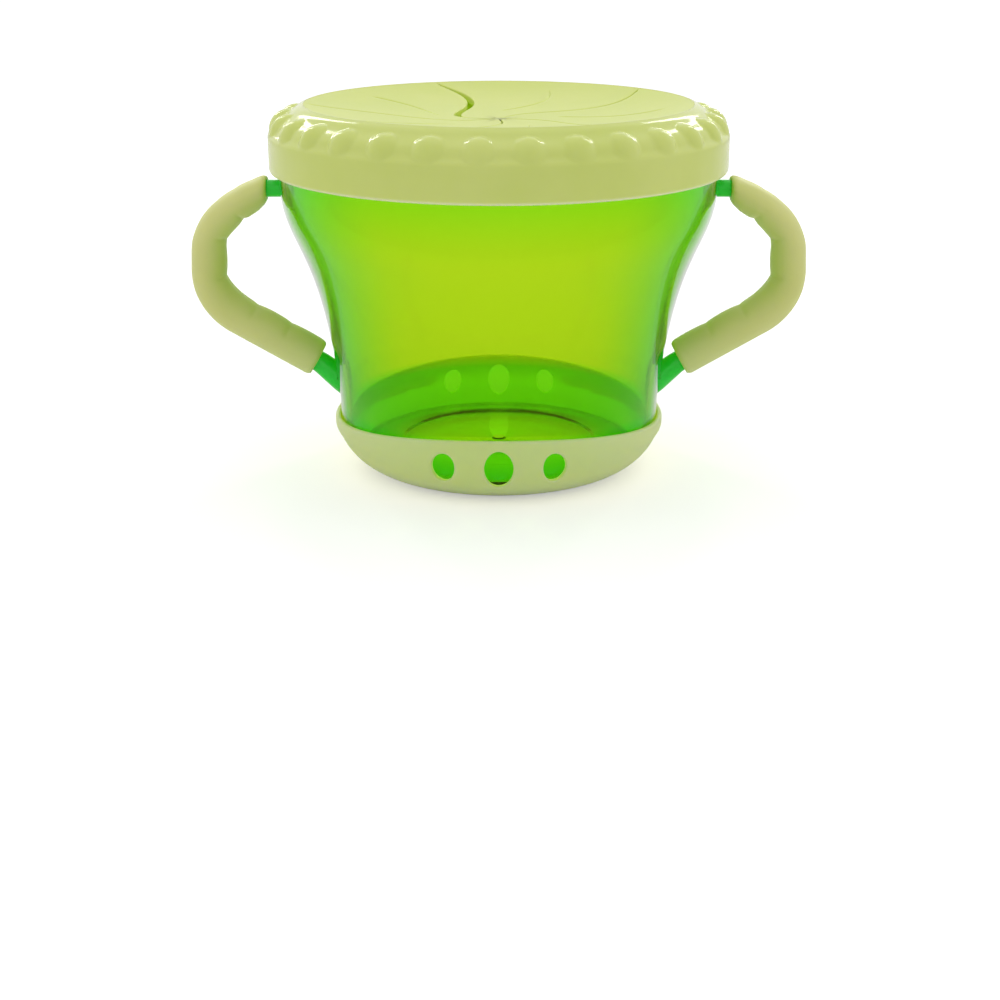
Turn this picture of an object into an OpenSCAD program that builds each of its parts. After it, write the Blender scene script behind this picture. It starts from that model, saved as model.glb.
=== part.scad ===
// Two-handled toddler snack cup: a clear flared cup with its handle cores moulded in,
// soft grips on the handles, a soft boot round the foot, and a press-fit lid whose
// dished middle is slit into leaves that a hand pushes through.
// Millimetres. Origin on the table under the middle of the cup, +Z up,
// +X through the handles, -Y to the front.

/* [Cup] */
// Height of the cup's rim above the table
cup_h = 73.4; // [71:0.2:76]
// Outer radius of the rim
rim_r = 48; // [46.5:0.1:49.5]
// Outer radius of the cup where it leaves the boot
waist_r = 36; // [34.5:0.1:37.5]
// Wall thickness
wall_t = 2; // [1.6:0.1:2.4]
// Floor thickness
floor_t = 2.1; // [1.6:0.1:2.6]
// Height of the straight band below the rim, which the lid covers
rim_band_h = 7.4; // [6:0.2:9]
// Lean of the wall above the waist, in degrees from upright
wall_lean = 5.6; // [4:0.1:7]
// Length of the slow part of the flare, above the waist
flare_low = 38; // [32:0.5:42]
// Length of the quick part of the flare, below the rim band
flare_high = 16; // [12:0.5:18]
// Radius of the round step in the floor
floor_step_r = 22.2; // [16:0.2:26]
// Depth of the round step
floor_step_d = 0.4; // [0.2:0.1:0.8]
// Radius of the moulding gate's button in the floor
gate_r = 1.6; // [1:0.1:2.4]
// Height of the gate's button
gate_h = 0.3; // [0.2:0.1:0.6]

/* [Handles] */
// Drop from the rim to the middle of the handle's stub
stub_drop = 11.2; // [10.8:0.1:12]
// Length of the stub from the rim to the start of the bend
stub_len = 3; // [2.6:0.1:4]
// Radius of the upper bend
bend_up_r = 14; // [12.5:0.1:15]
// Length of the upright part
upright_len = 3.7; // [2:0.1:5]
// Radius of the lower bend
bend_low_r = 12.6; // [11.5:0.1:13.5]
// Slope of the lower arm inside the grip, in degrees
arm_slope = 30.5; // [28:0.5:33]
// Slope of the arm's root, in degrees
root_slope = 40; // [37:0.5:44]
// Radius of the short bend before the root
root_bend_r = 12; // [8:0.5:16]
// Radius of the handle's core
core_r = 1.9; // [1.6:0.05:1.95]
// Radius of the core where it meets the cup's wall
root_r = 2.8; // [2.4:0.05:3.2]

/* [Grips] */
// Length of the grip along its lower arm
grip_arm_len = 20.4; // [16:0.2:20.6]
// Half thickness of the grip at its upper end
grip_top_a = 3.05; // [3:0.05:3.4]
// Half thickness of the grip on its lower arm
grip_low_a = 4.3; // [3.8:0.05:4.6]
// Half width of the grip across the handle
grip_b = 4.7; // [4.2:0.1:5.2]
// Depth of the valleys between the finger pads
valley_d = 0.6; // [0.2:0.05:0.7]
// Half width of a valley
valley_w = 1.8; // [1.2:0.1:2.4]
// Rounding of the grip's ends
grip_end_r = 0.7; // [0.4:0.05:0.75]
// Gap between the core and the grip's bore
grip_fit = 0.2; // [0.12:0.02:0.22]

/* [Boot] */
// Height of the boot's rim at the front and back
boot_h = 15.5; // [14.5:0.1:16.5]
// Dip of the boot's rim at the handles
boot_dip = 3.8; // [2:0.1:4.4]
// Wall thickness of the boot
boot_t = 1.15; // [1:0.05:1.3]
// Thickness of the boot's sole
sole_t = 3; // [2.4:0.1:3.6]
// Radius of the round between the boot's wall and its sole
boot_round = 13; // [12:0.1:13.4]
// How much of that round the table cuts off, which leaves the sole's flat
sole_cut = 0.1; // [0.05:0.05:0.6]
// Gap between the cup and the boot
boot_fit = 0.1; // [0.06:0.02:0.16]
// Width of the middle window
window_w = 6.2; // [5:0.1:7]
// Height of the middle window
window_h = 8.8; // [8:0.1:9.4]
// Width of a side window
side_window_w = 5.2; // [4:0.1:6]
// Height of a side window
side_window_h = 6.8; // [6.1:0.1:7.2]
// Height of the windows' centres above the table
window_z = 8.8; // [8.4:0.1:9.2]
// Angle from the middle window to a side window
window_step = 19.2; // [17:0.2:24]

/* [Lid] */
// Gap between the cup's rim and the lid's skirt
skirt_gap = 0.4; // [0.35:0.05:0.5]
// Thickness of the skirt
skirt_t = 1.6; // [1.4:0.1:2]
// Depth of the skirt below the rim
skirt_depth = 6.4; // [5.4:0.1:6.6]
// Rounding of the skirt's lower edge
lip_r = 0.8; // [0.4:0.1:1]
// Gap between the rim's top and the lid
seat_gap = 0.2; // [0.1:0.05:0.3]
// Thickness of the ledge over the rim
ledge_t = 1.7; // [1.4:0.1:2]
// Height of the crown above the ledge
crown_h = 5.7; // [5.2:0.1:6.2]
// Radius of the shoulder round the crown
shoulder_r = 5.8; // [5:0.1:6]
// Slope at which the shoulder starts, in degrees below the level
shoulder_slope = 16; // [10:1:20]
// Radius of the crown's highest ring
crown_r = 42.2; // [41.8:0.1:42.6]
// Thickness of the lid's top
top_t = 1.8; // [1.4:0.1:2.1]
// Depth of the dish in the crown
dish_d = 3.6; // [2.6:0.1:4]
// Depth of the plug ring inside the rim
plug_h = 2.4; // [1.5:0.1:3.5]
// Gap between the plug ring and the cup's wall
plug_gap = 0.4; // [0.3:0.05:0.5]
// Thickness of the plug ring
plug_t = 1.4; // [1.1:0.1:1.6]
// Height of the snap beads on the rim and in the skirt
bead_h = 0.12; // [0.08:0.01:0.14]
// Distance from the rim's top to the cup's bead
bead_drop = 3; // [2:0.1:4]
// Drop from the cup's bead to the skirt's bead below it
bead_step = 1.8; // [1.4:0.1:2]

/* [Pearls] */
// Number of pearls round the lid
pearl_n = 30; // [26:1:31]
// Radius of a pearl
pearl_r = 4.35; // [4:0.05:4.4]
// Distance of the pearls' faces inside the skirt's face
pearl_inset = 0.5; // [0.3:0.05:0.9]
// Angle of the first pearl from the front
pearl_turn = -4.8; // [-6:0.2:6]

/* [Leaves] */
// Radius at which the slits end
slit_r = 41.5; // [39:0.1:41.6]
// Width of the slits
slit_w = 0.75; // [0.6:0.05:0.85]
// Sideways swing of a slit's outer bow
slit_bow = 3.8; // [2:0.1:4.4]
// Radius at which a slit crosses over between its two bows
slit_cross = 17; // [14:0.2:20]
// Angle of the first slit's outer end from +X
slit_turn = 39; // [30:1:48]
// Radius of the round hole that ends each slit, so that it doesn't tear
stop_r = 0.65; // [0.5:0.05:0.9]
// Radius of the pinhole where the slits meet
pinhole_r = 0.7; // [0.5:0.1:1.2]
// Gap along the hinge line, between a leaf's root and the lid
root_gap = 0.4; // [0.36:0.02:0.5]
// Relief angle under a leaf's root, which lets it bend down
leaf_bend = 45; // [20:1:50]
// Width of a leaf's vein
vein_w = 0.5; // [0.3:0.05:0.8]
// Depth of a leaf's vein
vein_d = 0.3; // [0.2:0.05:0.5]
// Distance of a vein's inner end from the middle
vein_in = 13; // [8:0.5:16]
// Distance of a vein's outer end from the middle
vein_out = 31; // [24:0.5:31]

/* [Hidden] */
$fn = 120;
leaf_n = 5;
arc_steps = 8;
flare_steps = 16;
tube_fn = 32;
ball_fn = 48;
edge = 0.4;
past = 1;
joint_gap = 0.1;
joint_swell = 0.03;

// cup
flare_top = cup_h - rim_band_h;
cup_base_z = sole_t + boot_fit;
cup_floor_z = cup_base_z + floor_t;
rim_in_r = rim_r - wall_t;

// boot: its round and the cup's foot share one centre
boot_r = waist_r + boot_fit + boot_t;
round_c = [boot_r - boot_round, boot_round - sole_cut];
foot_round = boot_round - boot_t - boot_fit;
wave_r = (pow(boot_r, 2) + pow(boot_dip, 2)) / (2 * boot_dip);

// handle: key points of its centre line in the XZ plane
stub_z = cup_h - stub_drop;
bend_x = rim_r + stub_len;
reach_x = bend_x + bend_up_r;
upright_top = stub_z - bend_up_r;
upright_foot = upright_top - upright_len;
low_turn = 90 - arm_slope;
arm_x = reach_x - bend_low_r * (1 - cos(low_turn));
arm_z = upright_foot - bend_low_r * sin(low_turn);
arm_end_x = arm_x - grip_arm_len * cos(arm_slope);
arm_end_z = arm_z - grip_arm_len * sin(arm_slope);
root_x = arm_end_x - root_bend_r * (sin(root_slope) - sin(arm_slope));
root_z = arm_end_z - root_bend_r * (cos(arm_slope) - cos(root_slope));
root_len = (root_x - waist_r + 2 * wall_t) / cos(root_slope);

// grip: distances along that line from the start of the upper bend
up_len = bend_up_r * PI / 2;
low_at = up_len + upright_len;
low_len = bend_low_r * low_turn * PI / 180;
arm_at = low_at + low_len;
grip_len = arm_at + grip_arm_len;
valleys = grip_len * [0.147, 0.3, 0.474, 0.702, 0.847];
grip_rings = 38;
grip_sides = 20;
bore_r = (core_r + grip_fit) / cos(180 / grip_sides);

// lid
skirt_in_r = rim_r + skirt_gap;
lid_r = skirt_in_r + skirt_t;
skirt_z = cup_h - skirt_depth;
ceiling_z = cup_h + seat_gap;
ledge_z = ceiling_z + ledge_t;
crown_z = ledge_z + crown_h;
shoulder_c = [crown_r - shoulder_r * sin(shoulder_slope), crown_z - shoulder_r * cos(shoulder_slope)];
plug_r = rim_in_r - plug_gap;
plug_in_r = plug_r - plug_t;
skirt_bead_z = cup_h - bead_drop - bead_step;
pearl_at = lid_r - pearl_inset - pearl_r;

// leaves
leaf_step = 360 / leaf_n;
hinge_r = slit_r * cos(leaf_step / 2);
slit_counter = slit_bow * slit_cross / (slit_r - slit_cross);
dish_steps = 10;
dish_power = 3;

// A point of the cubic curve that runs from a to d, drawn towards b and c.
function bezier(a, b, c, d, t) =
  pow(1 - t, 3) * a + 3 * pow(1 - t, 2) * t * b + 3 * (1 - t) * t * t * c + pow(t, 3) * d;

// Points of an arc about c, from angle a0 to a1.
function arc(c, r, a0, a1) =
  [for (i = [0 : arc_steps]) let (a = a0 + (a1 - a0) * i / arc_steps) c + r * [cos(a), sin(a)]];

function flipped(points) = [for (i = [len(points) - 1 : -1 : 0]) points[i]];

function turned(points, a) =
  [for (p = points) [p[0] * cos(a) - p[1] * sin(a), p[0] * sin(a) + p[1] * cos(a)]];

// The cup's flare from the waist to the rim band, moved inwards by inset.
function flare(inset) =
  let (a = [waist_r, boot_h], b = a + flare_low * [tan(wall_lean), 1],
       d = [rim_r, flare_top], c = d - [0, flare_high])
  [for (i = [0 : flare_steps]) bezier(a, b, c, d, i / flare_steps) - [inset, 0]];

// The round of the foot at radius r about round_c, from height z up to the upright band.
function foot_arc(r, z) = arc(round_c, r, -asin((round_c[1] - z) / r), 0);

// The lid's top is a shallow dish; drop is the distance below its surface.
function dish(r) = crown_z - dish_d * (1 - pow(r / crown_r, dish_power));
function dish_line(drop, first = 0) =
  [for (i = [first : dish_steps]) let (r = crown_r * (1 - i / dish_steps)) [r, dish(r) - drop]];

// The shoulder's arc at radius r about its centre, from height z up to the crown.
function shoulder_arc(r, z) = arc(shoulder_c, r, asin(max(0, z - shoulder_c[1]) / r), 90 - shoulder_slope);

// A slit's centre line lies along +X and swings to one side and then to the other.
function slit_y(x) = x < slit_cross
  ? slit_counter * sin(180 * x / slit_cross)
  : -slit_bow * sin(180 * (x - slit_cross) / (slit_r - slit_cross));
function slit_lean(x) = atan((slit_y(x + edge) - slit_y(x - edge)) / (2 * edge));
function slit_line(x0, x1, side = 0, n = 20) =
  [for (i = [0 : n]) let (x = x0 + (x1 - x0) * i / n, a = slit_lean(x))
     [x - side * sin(a), slit_y(x) + side * cos(a)]];

// The handle's centre line at distance s along it: x, z and heading.
function handle_at(s) =
  s < up_len
  ? let (a = 90 * (1 - s / up_len))
    [bend_x + bend_up_r * cos(a), upright_top + bend_up_r * sin(a), a - 90]
  : s < low_at
  ? [reach_x, upright_top - (s - up_len), -90]
  : s < arm_at
  ? let (a = -low_turn * (s - low_at) / low_len)
    [reach_x - bend_low_r * (1 - cos(a)), upright_foot + bend_low_r * sin(a), a - 90]
  : [arm_x - (s - arm_at) * cos(arm_slope), arm_z - (s - arm_at) * sin(arm_slope), arm_slope - 180];

// ---- cup ----

module cup_outline() {
  polygon(concat(
    [[0, cup_base_z]], foot_arc(foot_round, cup_base_z), flare(0),
    [[rim_r, cup_h - bead_drop - 3 * bead_h], [rim_r + bead_h, cup_h - bead_drop - bead_h],
     [rim_r + bead_h, cup_h - bead_drop + bead_h], [rim_r, cup_h - bead_drop + 3 * bead_h],
     [rim_r, cup_h - edge], [rim_r - edge, cup_h], [0, cup_h]]));
}

module cup_hollow() {
  step_z = cup_floor_z + floor_step_d;
  polygon(concat(
    [[0, cup_floor_z], [floor_step_r - floor_step_d, cup_floor_z], [floor_step_r, step_z]],
    foot_arc(foot_round - wall_t, step_z), flare(wall_t),
    [[rim_in_r, cup_h + past], [0, cup_h + past]]));
}

// The core's stretches stop just short of one another, and a ball joins each pair.
module core_ball(x, z) {
  translate([x, 0, z]) sphere(core_r + joint_swell, $fn = tube_fn);
}

// A stretch bent about centre c in the XZ plane, from angle a0 through a degrees.
module core_bend(c, r, a0, a) {
  gap = joint_gap / r * 180 / PI;
  translate([c[0], 0, c[1]]) rotate([90, -a0 - gap, 0])
    rotate_extrude(angle = a - 2 * gap) translate([r, 0]) circle(core_r, $fn = tube_fn);
}

// A straight stretch that sinks towards the cup at the given slope.
module core_rod(x, z, slope, len, end_r = core_r) {
  translate([x, 0, z]) rotate([0, -90 - slope, 0]) translate([0, 0, joint_gap])
    cylinder(h = len - 2 * joint_gap, r1 = core_r, r2 = end_r, $fn = tube_fn);
}

module handle_core() {
  core_rod(bend_x, stub_z, 0, bend_x - rim_r + 2 * wall_t);
  core_ball(bend_x, stub_z);
  core_bend([bend_x, upright_top], bend_up_r, 0, 90);
  core_ball(reach_x, upright_top);
  core_rod(reach_x, upright_top, 90, upright_len);
  core_ball(reach_x, upright_foot);
  core_bend([reach_x - bend_low_r, upright_foot], bend_low_r, -low_turn, low_turn);
  core_ball(arm_x, arm_z);
  core_rod(arm_x, arm_z, arm_slope, grip_arm_len);
  core_ball(arm_end_x, arm_end_z);
  core_bend([arm_end_x + root_bend_r * sin(arm_slope), arm_end_z - root_bend_r * cos(arm_slope)],
            root_bend_r, 90 + arm_slope, root_slope - arm_slope);
  core_ball(root_x, root_z);
  core_rod(root_x, root_z, root_slope, root_len, root_r);
}

module cup() {
  color([0.66, 0.85, 0.1, 0.6]) {
    difference() {
      union() {
        rotate_extrude() cup_outline();
        handle_core();
        mirror([1, 0, 0]) handle_core();
      }
      rotate_extrude() cup_hollow();
    }
    translate([0, 0, cup_floor_z - floor_t / 2]) cylinder(h = floor_t / 2 + gate_h, r = gate_r, $fn = tube_fn);
  }
}

// ---- grips ----

// Distances of the grip's rings: close together at its rounded ends.
grip_s = concat(
  [for (f = [0, 0.3]) f * grip_end_r],
  [for (i = [0 : grip_rings]) grip_end_r + (grip_len - 2 * grip_end_r) * i / grip_rings],
  [for (f = [0.3, 0]) grip_len - f * grip_end_r]);

function end_inset(s) =
  let (d = min(s, grip_len - s))
  d < grip_end_r ? grip_end_r - sqrt(pow(grip_end_r, 2) - pow(grip_end_r - d, 2)) : 0;
function half_thick(s) = grip_top_a + (grip_low_a - grip_top_a) * min(1, s / arm_at);
function valley(s) = valley_d * max([for (v = valleys) exp(-pow((s - v) / valley_w, 2))]);

// One ring at distance s, with half sizes a and b; the finger side is cut back by dip.
function ring(s, a, b, dip) =
  let (h = handle_at(s), out = [-sin(h[2]), cos(h[2])])
  [for (k = [0 : grip_sides - 1])
     let (t = 360 * k / grip_sides, u = a * cos(t) + dip * pow(max(0, -cos(t)), 2))
     [h[0] + out[0] * u, b * sin(t), h[1] + out[1] * u]];

module grip() {
  n = len(grip_s);
  m = grip_sides;
  skin = [for (s = grip_s) let (i = end_inset(s))
            each ring(s, half_thick(s) - i, grip_b - i, valley(s))];
  bore = [for (s = grip_s) each ring(s, bore_r, bore_r, 0)];
  side = n * m;
  polyhedron(concat(skin, bore), concat(
    [for (j = [0 : n - 2], k = [0 : m - 1]) let (l = (k + 1) % m)
       each [[j * m + k, j * m + l, (j + 1) * m + l], [j * m + k, (j + 1) * m + l, (j + 1) * m + k]]],
    [for (j = [0 : n - 2], k = [0 : m - 1]) let (l = (k + 1) % m, b = side)
       each [[b + j * m + k, b + (j + 1) * m + l, b + j * m + l],
             [b + j * m + k, b + (j + 1) * m + k, b + (j + 1) * m + l]]],
    [for (k = [0 : m - 1]) let (l = (k + 1) % m)
       each [[k, side + l, l], [k, side + k, side + l]]],
    [for (k = [0 : m - 1]) let (l = (k + 1) % m, e = (n - 1) * m)
       each [[e + k, e + l, side + e + l], [e + k, side + e + l, side + e + k]]]));
}

module right_grip() {
  color([0.72, 0.76, 0.46]) grip();
}

module left_grip() {
  color([0.72, 0.76, 0.46]) mirror([1, 0, 0]) grip();
}

// ---- boot ----

module window(a, w, h) {
  rotate([0, 0, a]) translate([0, -boot_r - past, window_z]) rotate([-90, 0, 0])
    linear_extrude(boot_round) {
      square([w, h - w], center = true);
      for (s = [-1, 1]) translate([0, s * (h - w) / 2]) circle(w / 2, $fn = ball_fn);
    }
}

module base_boot() {
  in_r = waist_r + boot_fit;
  color([0.76, 0.8, 0.5]) difference() {
    intersection() {
      rotate_extrude() polygon(concat(
        [[0, 0]], foot_arc(boot_round, 0), [[boot_r, boot_h], [in_r, boot_h]],
        flipped(foot_arc(foot_round + boot_fit, sole_t)), [[0, sole_t]]));
      translate([0, 0, boot_h - wave_r]) rotate([90, 0, 0])
        cylinder(h = 2 * boot_r + past, r = wave_r, center = true, $fn = 360);
    }
    for (back = [0, 180]) {
      window(back, window_w, window_h);
      for (s = [-1, 1]) window(back + s * window_step, side_window_w, side_window_h);
    }
  }
}

// ---- lid ----

module lid_outline() {
  polygon(concat(
    [[0, skirt_z]],
    arc([lid_r - lip_r, skirt_z + lip_r], lip_r, -90, 0),
    [[lid_r, ledge_z - edge], [lid_r - edge, ledge_z], [shoulder_c[0] + shoulder_r, ledge_z]],
    shoulder_arc(shoulder_r, ledge_z), dish_line(0, 1)));
}

module lid_hollow() {
  polygon(concat(
    [[0, skirt_z - past], [skirt_in_r, skirt_z - past],
     [skirt_in_r, skirt_bead_z - 3 * bead_h], [skirt_in_r - bead_h, skirt_bead_z],
     [skirt_in_r, skirt_bead_z + 3 * bead_h], [skirt_in_r, ceiling_z],
     [plug_r, ceiling_z], [plug_r, cup_h - plug_h], [plug_in_r, cup_h - plug_h],
     [plug_in_r, ceiling_z]],
    shoulder_arc(shoulder_r - top_t, ceiling_z), dish_line(top_t, 1)));
}

module lid_ring() {
  color([0.76, 0.8, 0.5]) difference() {
    union() {
      rotate_extrude() lid_outline();
      for (i = [0 : pearl_n - 1])
        rotate([0, 0, pearl_turn + 360 * i / pearl_n])
          translate([0, -pearl_at, ledge_z]) sphere(pearl_r, $fn = ball_fn);
    }
    rotate_extrude() lid_hollow();
    rotate([0, 0, slit_turn]) translate([0, 0, ledge_z - shoulder_r])
      cylinder(h = crown_h + 2 * shoulder_r, r = slit_r + root_gap / 2 / cos(leaf_step / 2), $fn = leaf_n);
  }
}

// ---- leaves ----

// A strip of width w along a slit's centre line.
module strip(x0, x1, w) {
  polygon(concat(slit_line(x0, x1, -w / 2), flipped(slit_line(x0, x1, w / 2))));
}

module leaf_outline() {
  difference() {
    polygon(concat(slit_line(0, slit_r), flipped(turned(slit_line(0, slit_r), leaf_step))));
    for (a = [0, leaf_step]) rotate(a) {
      strip(0, slit_r + past, slit_w);
      translate(slit_line(slit_r - stop_r, slit_r)[0]) circle(stop_r, $fn = tube_fn);
    }
    circle(pinhole_r, $fn = tube_fn);
  }
}

// The room at a leaf's root: a narrow gap above the hinge line, opening out below it.
module root_relief() {
  deep = 2 * top_t + dish_d;
  rotate([0, 0, leaf_step / 2]) translate([hinge_r, 0, dish(hinge_r)]) rotate([90, 0, 0])
    linear_extrude(2 * slit_r, center = true) polygon([
      [-root_gap / 2, deep], [-root_gap / 2, 0], [-root_gap / 2 - deep * tan(leaf_bend), -deep],
      [slit_r, -deep], [slit_r, deep]]);
}

module leaf(i) {
  color([0.84, 0.9, 0.55]) rotate([0, 0, slit_turn + (i - 1) * leaf_step]) difference() {
    intersection() {
      rotate_extrude() polygon(concat(dish_line(0), flipped(dish_line(top_t))));
      linear_extrude(crown_z + past) leaf_outline();
    }
    root_relief();
    intersection() {
      linear_extrude(crown_z + past) rotate(leaf_step / 2) strip(vein_in, vein_out, vein_w);
      rotate_extrude() polygon(concat(dish_line(vein_d), [[0, crown_z + past], [crown_r, crown_z + past]]));
    }
  }
}

cup();
left_grip();
right_grip();
base_boot();
lid_ring();
leaf(1);  // leaf_1
leaf(2);  // leaf_2
leaf(3);  // leaf_3
leaf(4);  // leaf_4
leaf(5);  // leaf_5
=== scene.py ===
import math
import bmesh
import bpy
import numpy as np
from mathutils import Matrix, Vector


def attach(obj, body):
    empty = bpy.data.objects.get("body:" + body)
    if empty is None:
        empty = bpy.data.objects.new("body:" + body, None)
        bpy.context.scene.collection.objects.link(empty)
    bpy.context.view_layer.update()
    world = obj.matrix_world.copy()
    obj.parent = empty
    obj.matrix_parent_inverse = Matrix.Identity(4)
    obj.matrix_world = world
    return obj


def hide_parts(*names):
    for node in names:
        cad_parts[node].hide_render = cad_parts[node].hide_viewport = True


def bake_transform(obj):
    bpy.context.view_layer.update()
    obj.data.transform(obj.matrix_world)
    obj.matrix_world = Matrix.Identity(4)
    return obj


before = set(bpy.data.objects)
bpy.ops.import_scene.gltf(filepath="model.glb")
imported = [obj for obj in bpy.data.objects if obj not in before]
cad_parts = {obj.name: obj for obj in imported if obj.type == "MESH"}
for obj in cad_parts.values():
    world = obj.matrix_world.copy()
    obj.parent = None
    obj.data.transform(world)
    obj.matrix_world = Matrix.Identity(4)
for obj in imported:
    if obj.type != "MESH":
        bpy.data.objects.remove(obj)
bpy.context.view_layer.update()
mm = 0.001
closeBy = 0.002 * mm   # points of a piece that are nearer than this are one
atAxis = 0.01 * mm     # the same on a turned shape, where rings end on the axis
atSeam = 0.02 * mm     # and where the lid's two skins meet


# helpers for shader nodes

def feed(socket, value):
    if isinstance(value, bpy.types.NodeSocket):
        socket.id_data.links.new(value, socket)
    else:
        socket.default_value = value


def addNode(tree, kind, inputs=(), **settings):
    made = tree.nodes.new(kind)
    for name, value in settings.items():
        setattr(made, name, value)
    for name, value in dict(inputs).items():
        feed(made.inputs[name], value)
    return made


def mathNode(tree, operation, a, b):
    return addNode(tree, "ShaderNodeMath", {0: a, 1: b}, operation=operation).outputs[0]


def rangeNode(tree, value, fromLow, fromHigh, toLow=0, toHigh=1, smooth=False):
    ends = {"From Min": fromLow, "From Max": fromHigh, "To Min": toLow, "To Max": toHigh, "Value": value}
    kind = "SMOOTHSTEP" if smooth else "LINEAR"
    return addNode(tree, "ShaderNodeMapRange", ends, interpolation_type=kind).outputs[0]


def mixNode(tree, factor, a, b, kind="RGBA"):
    made = addNode(tree, "ShaderNodeMix", {"Factor": factor, "A": a, "B": b}, data_type=kind)
    return made.outputs["Result"]


def attributeNode(tree, name):
    return addNode(tree, "ShaderNodeAttribute", attribute_name=name).outputs["Fac"]


# helpers for meshes

def clamp(value):
    return min(1, max(0, value))


def addObject(name, data):
    thing = bpy.data.objects.new(name, data)
    bpy.context.scene.collection.objects.link(thing)
    return thing


def asMesh(bm, name):
    data = bpy.data.meshes.new(name)
    bm.to_mesh(data)
    bm.free()
    return data


def asPiece(bm, name, body, nodes, smoothBelow=35):
    bmesh.ops.remove_doubles(bm, verts=bm.verts, dist=closeBy)
    bmesh.ops.recalc_face_normals(bm, faces=bm.faces)
    data = asMesh(bm, name)
    data.set_sharp_from_angle(angle=math.radians(smoothBelow))
    for face in data.polygons:
        face.use_smooth = True
    piece = addObject(name, data)
    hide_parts(*nodes)
    if body:  # a leaf gets no body here
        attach(piece, body)
    return piece


def chain(bm, points):
    verts = [bm.verts.new(Vector(p) * mm) for p in points]
    for a, b in zip(verts, verts[1:]):
        bm.edges.new((a, b))


def spinRound(bm, steps, angle=360, copies=False):
    bmesh.ops.spin(bm, geom=bm.verts[:] + bm.edges[:] + bm.faces[:], cent=(0, 0, 0), axis=(0, 0, 1),
                   angle=math.radians(angle), steps=steps, use_merge=angle == 360, use_duplicate=copies)


def turned(points, steps):  # an outline from axis to axis, spun all the way round
    bm = bmesh.new()
    chain(bm, points)
    spinRound(bm, steps)
    bmesh.ops.remove_doubles(bm, verts=bm.verts, dist=atAxis)
    return bm


def sheet(bm, rows, columns, place):  # a grid, each point moved to where place(row, column) says
    bmesh.ops.create_grid(bm, x_segments=rows, y_segments=columns, size=1)
    for v in bm.verts:
        i, j = round((v.co.x + 1) / 2 * rows), round((v.co.y + 1) / 2 * columns)
        v.co = Vector(place(i, j)) * mm


def closeEnds(bm):  # caps on a sheet that is rolled into a tube
    bmesh.ops.remove_doubles(bm, verts=bm.verts, dist=closeBy)
    bmesh.ops.holes_fill(bm, edges=[e for e in bm.edges if e.is_boundary], sides=0)


def arcPoints(cx, cz, r, a0, a1, n):
    angles = [math.radians(a0 + (a1 - a0) * i / n) for i in range(n + 1)]
    return [(cx + r * math.cos(a), 0, cz + r * math.sin(a)) for a in angles]


def combine(bm, tools, how):
    base = addObject("base", asMesh(bm, "base"))
    spare = []
    for tool in tools:
        other = addObject("tool", asMesh(tool, "tool"))
        change = base.modifiers.new("join", "BOOLEAN")
        change.operation = how
        change.solver = "EXACT"
        change.object = other
        spare.append(other)
    bpy.context.view_layer.update()
    done = bpy.data.meshes.new_from_object(base.evaluated_get(bpy.context.evaluated_depsgraph_get()))
    result = bmesh.new()
    result.from_mesh(done)
    for thing in spare + [base]:
        bpy.data.objects.remove(thing)
    bpy.data.meshes.remove(done)
    return result


# camera, light and floor; lengths in mm

view = {
    "place": (0, -390, 126.7),  # where the lens stands
    "pitch": 19.37,             # degrees below the horizon
    "yaw": 0.039,
    "lens": 63.7, "sensor": 36, "clipStart": 10,
}


def addCamera():
    data = bpy.data.cameras.new("camera")
    data.lens = view["lens"]
    data.sensor_width = view["sensor"]
    data.clip_start = view["clipStart"] * mm
    camera = addObject("camera", data)
    camera.location = Vector(view["place"]) * mm
    camera.rotation_euler = (math.radians(90 - view["pitch"]), 0, math.radians(-view["yaw"]))
    bpy.context.scene.camera = camera
    print("camera placed")


studio = {
    "ambient": 0.8,       # white light from the back, the sides and above
    "frontShade": 0.5,    # what is left of it on the side where the lens stands
    "shadeFrom": 0.2,     # how far round the dark side reaches: -y part of the direction
    "shadeTo": 0.75,
    "lamps": {
        "leftStrip": {"place": (-294, 489, 365), "aim": (0, 0, 75), "size": (50, 300), "watts": 0.38},
        "rightStrip": {"place": (294, 489, 365), "aim": (0, 0, 75), "size": (50, 300), "watts": 0.38},
        "topSoft": {"place": (0, 60, 720), "aim": (0, 0, 75), "size": (520, 420), "watts": 0.25},
    },
    "floorReach": 6000, "floorColour": (0.9, 0.9, 0.9),
    "floorLift": 0.4,     # shows the floor to the lens as white, and keeps the shadow
}


def addWorld():
    world = bpy.data.worlds.new("studio")
    bpy.context.scene.world = world
    world.use_nodes = True
    tree = world.node_tree
    tree.nodes.clear()
    spot = addNode(tree, "ShaderNodeTexCoord")
    split = addNode(tree, "ShaderNodeSeparateXYZ", {0: spot.outputs["Generated"]})
    front = mathNode(tree, "MULTIPLY", split.outputs["Y"], -1)
    light = rangeNode(tree, front, studio["shadeFrom"], studio["shadeTo"],
                      studio["ambient"], studio["frontShade"], smooth=True)
    path = addNode(tree, "ShaderNodeLightPath")  # plain white to the lens, through the cup and in gloss
    seen = mathNode(tree, "MAXIMUM", path.outputs["Is Camera Ray"], path.outputs["Is Transmission Ray"])
    seen = mathNode(tree, "MAXIMUM", seen, path.outputs["Is Glossy Ray"])
    strength = mixNode(tree, seen, light, 1, "FLOAT")
    background = addNode(tree, "ShaderNodeBackground", {"Color": (1, 1, 1, 1), "Strength": strength})
    addNode(tree, "ShaderNodeOutputWorld", {"Surface": background.outputs[0]})


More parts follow.
